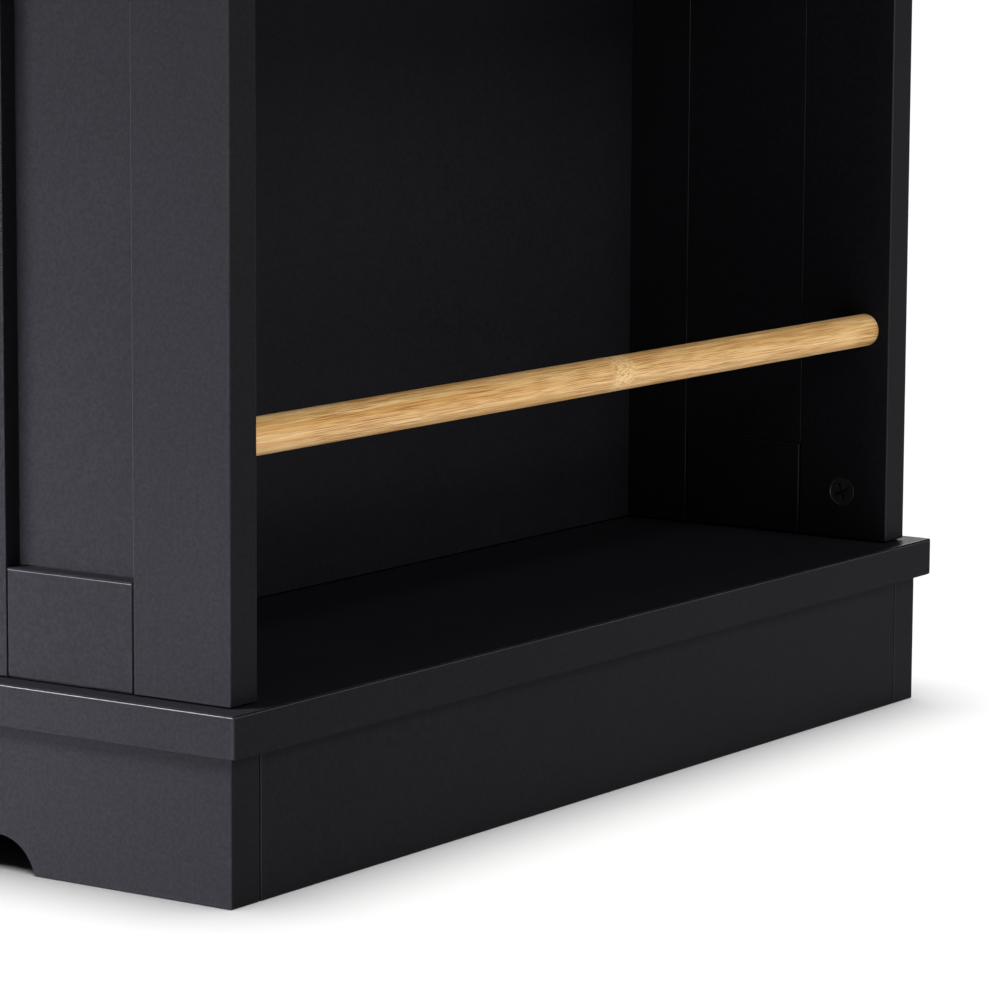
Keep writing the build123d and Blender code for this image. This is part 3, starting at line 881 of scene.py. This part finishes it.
class ISLAND_OT_cam_locks(bpy.types.Operator):
    """Build the cam locks of the rack and finish the bolts they hold"""
    bl_idname = "island.cam_locks"
    bl_label = "Cam locks"

    def execute(self, context):
        sizes = context.scene.island_sizes
        boxes = cad_parts("rack_cam_locks")
        template = None
        matrices = []
        for low, high in boxes:
            size = high - low
            middle = (low + high) / 2
            if size.z < size.y:
                face, way = Vector((middle.x, middle.y, low.z)), (0, 0, -1)
            else:
                inward = -1 if middle.y > 0 else 1
                face, way = Vector((middle.x, middle.y + inward * size.y / 2, middle.z)), (0, inward, 0)
            template = template or cam_template(size.x / 2, min(size.y, size.z), sizes.cam_rim)
            turn = Matrix.Rotation(math.radians(CAM_TURN), 4, "Z")
            matrices.append(pointing(face, way) @ turn)
        bm = new_mesh()
        add_copies(bm, template, matrices)
        place_piece(bm, "cast_rack_cam_locks", "dark_zinc", "rack_cam_locks")
        bolts = frame["nodes"]["rack_cam_bolts"]
        bolts.data.materials.clear()
        bolts.data.materials.append(finish("zinc_steel"))
        return {"FINISHED"}


class ISLAND_OT_doors(bpy.types.Operator):
    """Build the framed doors and their knobs"""
    bl_idname = "island.doors"
    bl_label = "Doors"

    def execute(self, context):
        sizes = context.scene.island_sizes
        for side in SIDES:
            dress(f"{side}_door_stiles")
            dress(f"{side}_door_rails", "x")
            dress(f"{side}_door_panel", arris=sizes.panel_arris)
            turn_knob(f"{side}_door_knob")
        return {"FINISHED"}


class ISLAND_OT_drawers(bpy.types.Operator):
    """Build the drawers with their recessed fronts, boxes and knobs"""
    bl_idname = "island.drawers"
    bl_label = "Drawers"

    def execute(self, context):
        for side in SIDES:
            dress(f"{side}_drawer_front")
            for part, seams in (("sides", ""), ("back", "x"), ("bottom", "xy")):
                dress(f"{side}_drawer_{part}", seams, "drawer_board", prefix="faced")
            turn_knob(f"{side}_drawer_knob")
        return {"FINISHED"}


def turn_knob(node):
    """Build one turned knob: a waisted stem and a head with a softly dished face."""
    low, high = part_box(node)
    radius = (high.x - low.x) / 2
    reach = high.y - low.y
    soft = 4 * MM
    foot = 7 * MM
    neck = 2 * MM
    waist = arc((foot + neck, 5.5 * MM), 3.5 * MM, 250, 130, 10)
    shoulder = arc((radius - soft, 9 * MM + soft), soft, -90, 0, 8)
    rim = arc((radius - soft, reach - soft), soft, 0, 90, 8)
    profile = [(0, 0), (foot, 0), *waist, *shoulder, *rim, (radius * 0.5, reach - 0.35 * MM)]
    profile.append((0, reach - 0.6 * MM))
    bm = new_mesh()
    place = Vector(((low.x + high.x) / 2, high.y, (low.z + high.z) / 2))
    turned(bm, profile, pointing(place, (0, -1, 0)), segments=64)
    place_piece(bm, f"bamboo_{node}", "bamboo", node)


class ISLAND_OT_hinges(bpy.types.Operator):
    """Build the butt hinges: leaves with screws, knuckles and pins"""
    bl_idname = "island.hinges"
    bl_label = "Hinges"

    def execute(self, context):
        sizes = context.scene.island_sizes
        screw = screw_template(sizes.screw_radius)
        fixed = new_mesh()
        for side in SIDES:
            joint = next(j for j in frame["joints"] if j["name"] == f"{side}_door_swing")
            axis = Vector(joint["pos_m"])
            way = -joint["axis"][2]
            moving = new_mesh()
            node = f"{side}_door_hinges"
            for low, high in cad_parts(node):
                axis.z = low.z
                height = high.z - low.z
                third = height / 3
                gap = 0.3 * MM
                outer = ((0, third - gap), (height - third + gap, height))
                middle = ((third, height - third),)
                hinge_half(fixed, axis, -way, height, outer, screw)
                hinge_half(moving, axis, way, height, middle, screw)
                hinge_pin(fixed, axis, height)
            place_piece(moving, f"black_{node}", "black_metal", node)
        place_piece(fixed, "black_frame_hinges", "black_metal", "frame_hinges")
        return {"FINISHED"}


def hinge_half(bm, axis, way, height, knuckles, screw):
    """Add one leaf beside a hinge axis, its knuckles between the given heights, and its screws."""
    barrel = 3.5 * MM
    bore = 1.55 * MM
    thin, thick = 0.3 * MM, 1.5 * MM
    leaf_start, leaf_end = barrel + thin, 18 * MM
    near, far = axis.x + way * thin, axis.x + way * thick
    block(bm, (near, axis.y + leaf_start, axis.z), (far, axis.y + leaf_end, axis.z + height), 0.2 * MM)
    for start, end in knuckles:
        bottom, top = axis.z + start, axis.z + end
        neck_start = axis.y + bore + thin
        block(bm, (near, neck_start, bottom), (far, axis.y + leaf_start + thin, top), 0.1 * MM)
        soft = 0.35 * MM
        profile = [(bore, start), (barrel - soft, start), (barrel, start + soft), (barrel, end - soft)]
        profile += [(barrel - soft, end), (bore, end)]
        turned(bm, profile, Matrix.Translation(axis), segments=32, ring=True)
    depth = (leaf_start + leaf_end) / 2
    heights = [height * share for share in (0.16, 0.5, 0.84)]
    places = [Vector((near, axis.y + depth, axis.z + level)) for level in heights]
    add_copies(bm, screw, [pointing(place, (-way, 0, 0)) for place in places])


def hinge_pin(bm, axis, height):
    """Add a hinge pin with a small domed head at each end."""
    radius = 1.5 * MM
    dome = 2.4 * MM
    cap = 0.9 * MM
    side = [(radius, 0), (radius, height / 2), (dome, height / 2), (dome, height / 2 + cap * 0.4)]
    side += [(dome * 0.7, height / 2 + cap * 0.85), (0, height / 2 + cap)]
    profile = [(r, -h) for r, h in side[:0:-1]] + side
    turned(bm, profile, Matrix.Translation(axis + Vector((0, 0, height / 2))), segments=24)


class ISLAND_OT_runners(bpy.types.Operator):
    """Build the drawer runners: screwed channels and folded bars"""
    bl_idname = "island.runners"
    bl_label = "Drawer runners"

    def execute(self, context):
        sizes = context.scene.island_sizes
        screw = screw_template(sizes.screw_radius)
        sheet = 1.2 * MM
        meshes = {f"{side}_runner_bars": new_mesh() for side in SIDES}
        bars = [(node, box) for node in meshes for box in cad_parts(node)]
        channels = cad_copy("runner_channels")
        ease(channels, square_edges(channels, LONG_EDGE), 0.35 * MM, 2)
        for (node, (low, high)), (wall_low, wall_high) in zip(bars, cad_parts("runner_channels")):
            wall_on_left = wall_low.x < low.x
            folded_bar(meshes[node], low, high, wall_on_left)
            wall_x = wall_low.x + sheet if wall_on_left else wall_high.x - sheet
            way = 1 if wall_on_left else -1
            level = (low.z + high.z) / 2
            along = [low.y + (high.y - low.y) * share for share in (0.1, 0.5, 0.9)]
            places = [Vector((wall_x, y, level)) for y in along]
            add_copies(channels, screw, [pointing(place, (way, 0, 0)) for place in places])
        for node, bm in meshes.items():
            place_piece(bm, f"zinc_{node}", "zinc_steel", node)
        place_piece(channels, "zinc_runner_channels", "zinc_steel", "runner_channels")
        return {"FINISHED"}


def folded_bar(bm, low, high, open_to_left):
    """Add a runner bar folded from sheet, open towards the wall."""
    sheet = 1.5 * MM
    depth = high.x - low.x
    height = high.z - low.z
    outline = [(0, 0), (depth, 0), (depth, sheet), (sheet, sheet), (sheet, height - sheet)]
    outline += [(depth, height - sheet), (depth, height), (0, height)]
    back, way = (high.x, -1) if open_to_left else (low.x, 1)
    part = new_mesh()
    prism(part, outline, low.y, high.y, lambda a, b, y: (back + way * a, y, low.z + b))
    bmesh.ops.recalc_face_normals(part, faces=part.faces[:])
    ease(part, square_edges(part, LONG_EDGE), 0.4 * MM, 2)
    add_copies(bm, saved_mesh(part, "folded_bar"), [Matrix.Identity(4)])


class ISLAND_OT_shelf_pins(bpy.types.Operator):
    """Build the collared pins under the cabinet shelves"""
    bl_idname = "island.shelf_pins"
    bl_label = "Shelf pins"

    def execute(self, context):
        bm = new_mesh()
        for low, high in cad_parts("shelf_pins"):
            radius = (high.z - low.z) / 2
            half = (high.x - low.x) / 2
            soft = 0.6 * MM
            collar = 3.4 * MM
            tip = arc((radius - soft, half - soft), soft, 0, 90, 3)
            lip = 0.7 * MM
            profile = [(0, -half), (radius, -half), (radius, 0), (collar, 0), (collar, lip)]
            profile += [(radius, lip), *tip, (0, half)]
            middle = (low + high) / 2
            way = shelf_pin_way(middle.x)
            turned(bm, profile, pointing(middle, (way, 0, 0)), segments=32)
        place_piece(bm, "zinc_shelf_pins", "zinc_steel", "shelf_pins")
        return {"FINISHED"}


def shelf_pin_way(x):
    """Which way along X a pin stands out of its wall: towards the middle of its cabinet."""
    middles = [(low.x + high.x) / 2 for low, high in cad_parts("cabinet_shelves")]
    nearest = min(middles, key=lambda middle: abs(middle - x))
    return 1 if nearest > x else -1


class ISLAND_OT_catches(bpy.types.Operator):
    """Build the magnetic door catches: a moulded body and two steel plates"""
    bl_idname = "island.catches"
    bl_label = "Door catches"

    def execute(self, context):
        bm = new_mesh()
        for low, high in cad_parts("door_catches"):
            nose = 1.5 * MM
            plate = 1.2 * MM
            edge = 6 * MM
            block(bm, low + Vector((0, nose, 0)), high, 0.8 * MM, 3)
            for level in (low.z + 2 * MM, high.z - 2 * MM - plate):
                start = Vector((low.x + edge, low.y, level))
                block(bm, start, (high.x - edge, low.y + 6 * MM, level + plate), 0.2 * MM)
        place_piece(bm, "moulded_door_catches", "catch_plastic", "door_catches")
        return {"FINISHED"}


class ISLAND_OT_worktop(bpy.types.Operator):
    """Build the laminated worktop with rounded edges"""
    bl_idname = "island.worktop"
    bl_label = "Worktop"

    def execute(self, context):
        sizes = context.scene.island_sizes
        low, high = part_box("worktop")
        bm = new_mesh()
        block(bm, low, high, 0)
        level = (low.z + high.z) / 2
        ease(bm, upright_edges(bm), sizes.worktop_corner, 8)
        ease(bm, level_edges(bm, level, 1), sizes.worktop_round, 6)
        ease(bm, level_edges(bm, level, -1), sizes.worktop_foot, 3)
        place_piece(bm, "oiled_worktop", "worktop_wood", "worktop")
        return {"FINISHED"}


class ISLAND_OT_stage(bpy.types.Operator):
    """Lay the plain floor and set the lights and the camera"""
    bl_idname = "island.stage"
    bl_label = "Stage"

    def execute(self, context):
        settings = context.scene.island_stage
        lay_floor(settings)
        light_stage(context.scene, settings)
        set_camera(context.scene, settings)
        context.scene.view_settings.view_transform = "Standard"
        return {"FINISHED"}


def lay_floor(settings):
    """Add a wide pale floor with a barely uneven tone."""
    bm = bmesh.new()
    bmesh.ops.create_circle(bm, cap_ends=True, radius=30.0, segments=96)
    mesh = bpy.data.meshes.new("studio_floor")
    bm.to_mesh(mesh)
    bm.free()
    material, tree, shader = start_finish("Pale floor")
    place = tree.nodes.new("ShaderNodeTexCoord").outputs["Object"]
    cloud = noise(tree, place, 1.5, 2.0)
    dull = [value * 0.985 for value in settings.floor]
    feed(tree, shader, {
        "Base Color": mixed(tree, cloud, dull, settings.floor),
        "Roughness": 0.9,
        "Specular IOR Level": 0.1,
    })
    mesh.materials.append(material)
    floor = bpy.data.objects.new("studio_floor", mesh)
    bpy.context.scene.collection.objects.link(floor)
    floor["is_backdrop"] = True


def add_light(scene, name, kind, place, target, power):
    """Add a light at a place, turned to a target."""
    data = bpy.data.lights.new(name, kind)
    data.energy = power
    light = bpy.data.objects.new(name, data)
    light.location = place
    light.rotation_euler = (Vector(target) - Vector(place)).to_track_quat("-Z", "Y").to_euler()
    scene.collection.objects.link(light)
    return light


def light_group(name, objects, state):
    """A group of objects that a light reaches or passes by."""
    group = bpy.data.collections.new(name)
    for thing in objects:
        group.objects.link(thing)
    for entry in group.collection_objects:
        entry.light_linking.link_state = state
    return group


def light_stage(scene, settings):
    """Faint light from all round, the softboxes, and a light that keeps the floor pale."""
    world = bpy.data.worlds.new("Studio")
    world.use_nodes = True
    background = world.node_tree.nodes["Background"]
    background.inputs["Color"].default_value = (*settings.sky, 1.0)
    background.inputs["Strength"].default_value = settings.sky_strength
    scene.world = world
    floor = [bpy.data.objects["studio_floor"]]
    all_but_floor = light_group("all_but_the_floor", floor, "EXCLUDE")
    for name, (place, target, width, height, power, grid, reflected) in SOFTBOXES.items():
        box = add_light(scene, name, "AREA", place, target, power * settings.softbox_power)
        box.data.shape = "RECTANGLE"
        box.data.size = width
        box.data.size_y = height
        box.data.spread = math.radians(grid)
        box.visible_glossy = reflected
        box.light_linking.receiver_collection = all_but_floor
    wash = add_light(scene, "floor_wash", "SUN", (0, 0, 3), (0, 0, 0), settings.wash_strength)
    wash.data.angle = math.radians(70)
    wash.light_linking.receiver_collection = light_group("only_the_floor", floor, "INCLUDE")
    low = [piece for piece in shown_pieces() if "plinth" in piece.name or "base_board" in piece.name]
    wash.light_linking.blocker_collection = light_group("low_pieces", low, "INCLUDE")


def set_camera(scene, settings):
    """Look at the rack's near bottom corner from the open end and a little above."""
    data = bpy.data.cameras.new("camera")
    data.sensor_width = SENSOR_WIDTH
    data.lens = settings.lens
    camera = bpy.data.objects.new("camera", data)
    turn = Matrix.Rotation(math.radians(CAMERA_HEADING), 4, "Z")
    tilt = Matrix.Rotation(math.radians(90 + CAMERA_TILT), 4, "X")
    roll = Matrix.Rotation(math.radians(CAMERA_ROLL), 4, "Z")
    camera.matrix_world = Matrix.Translation(CAMERA_PLACE) @ turn @ tilt @ roll
    scene.collection.objects.link(camera)
    scene.camera = camera


OPERATORS = (
    ISLAND_OT_plinth,
    ISLAND_OT_base_board,
    ISLAND_OT_frames,
    ISLAND_OT_carcass,
    ISLAND_OT_guard_rails,
    ISLAND_OT_cam_locks,
    ISLAND_OT_doors,
    ISLAND_OT_drawers,
    ISLAND_OT_hinges,
    ISLAND_OT_runners,
    ISLAND_OT_shelf_pins,
    ISLAND_OT_catches,
    ISLAND_OT_worktop,
    ISLAND_OT_stage,
)
SETTINGS = {
    "island_sizes": IslandSizes,
    "island_finishes": IslandFinishes,
    "island_stage": IslandStage,
}


class ISLAND_PT_pieces(bpy.types.Panel):
    """List the pieces of the island and its settings in the sidebar"""
    bl_idname = "ISLAND_PT_pieces"
    bl_label = "Kitchen island"
    bl_space_type = "VIEW_3D"
    bl_region_type = "UI"
    bl_category = "Kitchen island"

    def draw(self, context):
        for operator in OPERATORS:
            self.layout.operator(operator.bl_idname)
        for name in SETTINGS:
            group = getattr(context.scene, name)
            box = self.layout.box()
            for setting in group.__annotations__:
                box.prop(group, setting)


def register():
    """Register the settings, the operators and the panel."""
    for name, group in SETTINGS.items():
        bpy.utils.register_class(group)
        setattr(bpy.types.Scene, name, PointerProperty(type=group))
    for cls in (*OPERATORS, ISLAND_PT_pieces):
        bpy.utils.register_class(cls)


def unregister():
    """Take the panel, the operators and the settings away again."""
    for cls in (ISLAND_PT_pieces, *reversed(OPERATORS)):
        bpy.utils.unregister_class(cls)
    for name, group in SETTINGS.items():
        delattr(bpy.types.Scene, name)
        bpy.utils.unregister_class(group)


def main():
    """Build every piece in order."""
    register()
    for operator in OPERATORS:
        group, name = operator.bl_idname.split(".")
        getattr(getattr(bpy.ops, group), name)()


if __name__ == "__main__":
    main()
